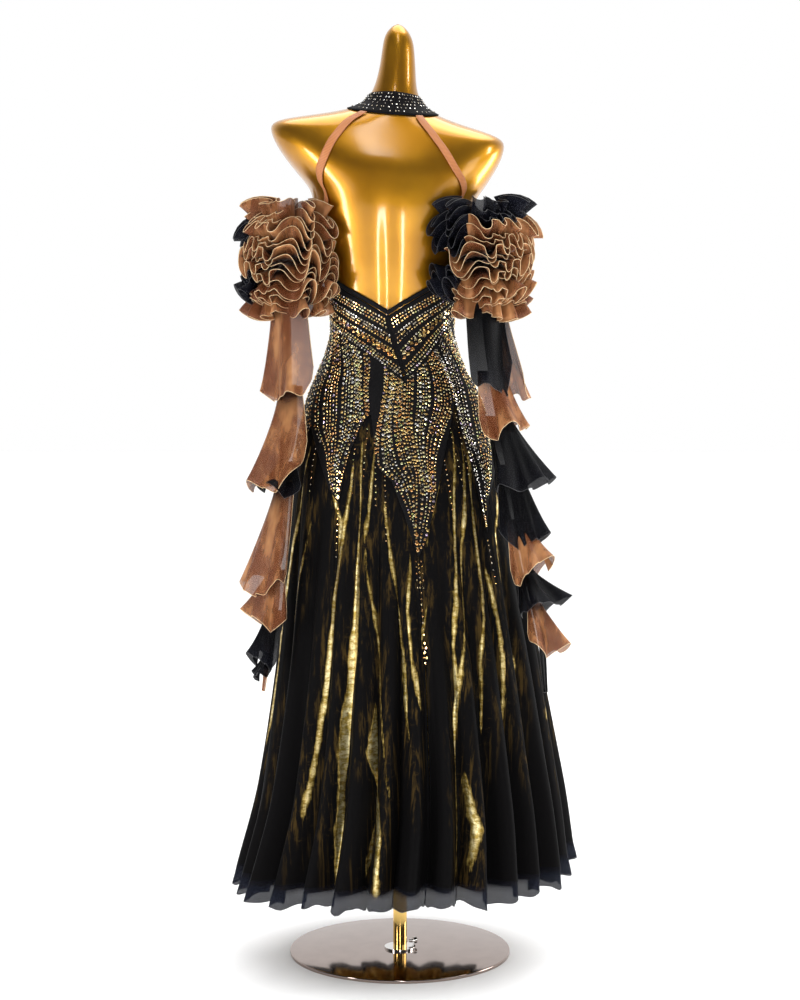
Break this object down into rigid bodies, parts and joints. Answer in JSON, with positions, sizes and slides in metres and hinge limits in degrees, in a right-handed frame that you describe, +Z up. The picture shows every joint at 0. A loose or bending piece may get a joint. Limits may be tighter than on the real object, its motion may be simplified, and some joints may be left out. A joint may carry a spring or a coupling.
{
  "type": "ballroom dance dress on a dress form",
  "caption": "Floor-length halter ballroom dress with an open back, pointed basque, fluted skirt and ruffled arm floats, on a limbless dress form with a pole and a round base plate.",
  "frame": {"origin": "centre of the base plate's underside", "axes": "+Z up the pole; +Y the way the dress faces, so its open back faces -Y; +X to the right of a viewer behind it"},
  "size_m": [0.6113, 0.5689, 1.665],
  "materials": {
    "gold_gloss": "gold lacquer, high gloss",
    "chrome": "polished",
    "brass": "polished",
    "black_stretch": "matt stretch net over satin, set all over with glass stones in the render",
    "black_chiffon": "sheer chiffon",
    "gold_lame": "metallic lame",
    "tan_organza": "sheer satin organza with a gold overlocked edge",
    "black_organza": "sheer organza with a black overlocked edge",
    "tan_elastic": "satin elastic"
  },
  "bodies": {
    "root": {"armband_left": "tan_organza", "armband_right": "black_organza", "bodice_back_left": "black_stretch", "bodice_back_right": "black_stretch", "bodice_front": "black_stretch", "collar": "black_stretch", "form_base": "chrome", "form_flange": "chrome", "form_pole": "brass", "form_screw": "chrome", "form_torso": "gold_gloss", "neck_binding_left": "black_stretch", "neck_binding_right": "black_stretch", "overskirt_back_left": "black_chiffon", "overskirt_back_right": "black_chiffon", "overskirt_front_left": "black_chiffon", "overskirt_front_right": "black_chiffon", "overskirt_side_left": "black_chiffon", "overskirt_side_right": "black_chiffon", "ruffle_left_black_high": "black_organza", "ruffle_left_black_low": "black_organza", "ruffle_left_tan_hem": "tan_organza", "ruffle_left_tan_high": "tan_organza", "ruffle_left_tan_low": "tan_organza", "ruffle_left_tan_middle": "tan_organza", "ruffle_left_tan_top": "tan_organza", "ruffle_right_black_high": "black_organza", "ruffle_right_black_low": "black_organza", "ruffle_right_black_top": "black_organza", "ruffle_right_tan_hem": "tan_organza", "ruffle_right_tan_high": "tan_organza", "ruffle_right_tan_low": "tan_organza", "ruffle_right_tan_middle": "tan_organza", "sleeve_left_black_3": "black_organza", "sleeve_left_black_6": "black_organza", "sleeve_left_black_7": "black_organza", "sleeve_left_strip": "tan_organza", "sleeve_left_tan_1": "tan_organza", "sleeve_left_tan_2": "tan_organza", "sleeve_left_tan_4": "tan_organza", "sleeve_left_tan_5": "tan_organza", "sleeve_right_black_1": "black_organza", "sleeve_right_black_4": "black_organza", "sleeve_right_black_5": "black_organza", "sleeve_right_black_7": "black_organza", "sleeve_right_strip": "black_organza", "sleeve_right_tan_2": "tan_organza", "sleeve_right_tan_3": "tan_organza", "sleeve_right_tan_6": "tan_organza", "sleeve_right_tan_8": "tan_organza", "strap_left": "tan_elastic", "strap_right": "tan_elastic", "underskirt_back_left": "gold_lame", "underskirt_back_right": "gold_lame", "underskirt_front_left": "gold_lame", "underskirt_front_right": "gold_lame", "underskirt_side_left": "gold_lame", "underskirt_side_right": "gold_lame", "zip_chain": "black_stretch"}
  },
  "joints": []
}
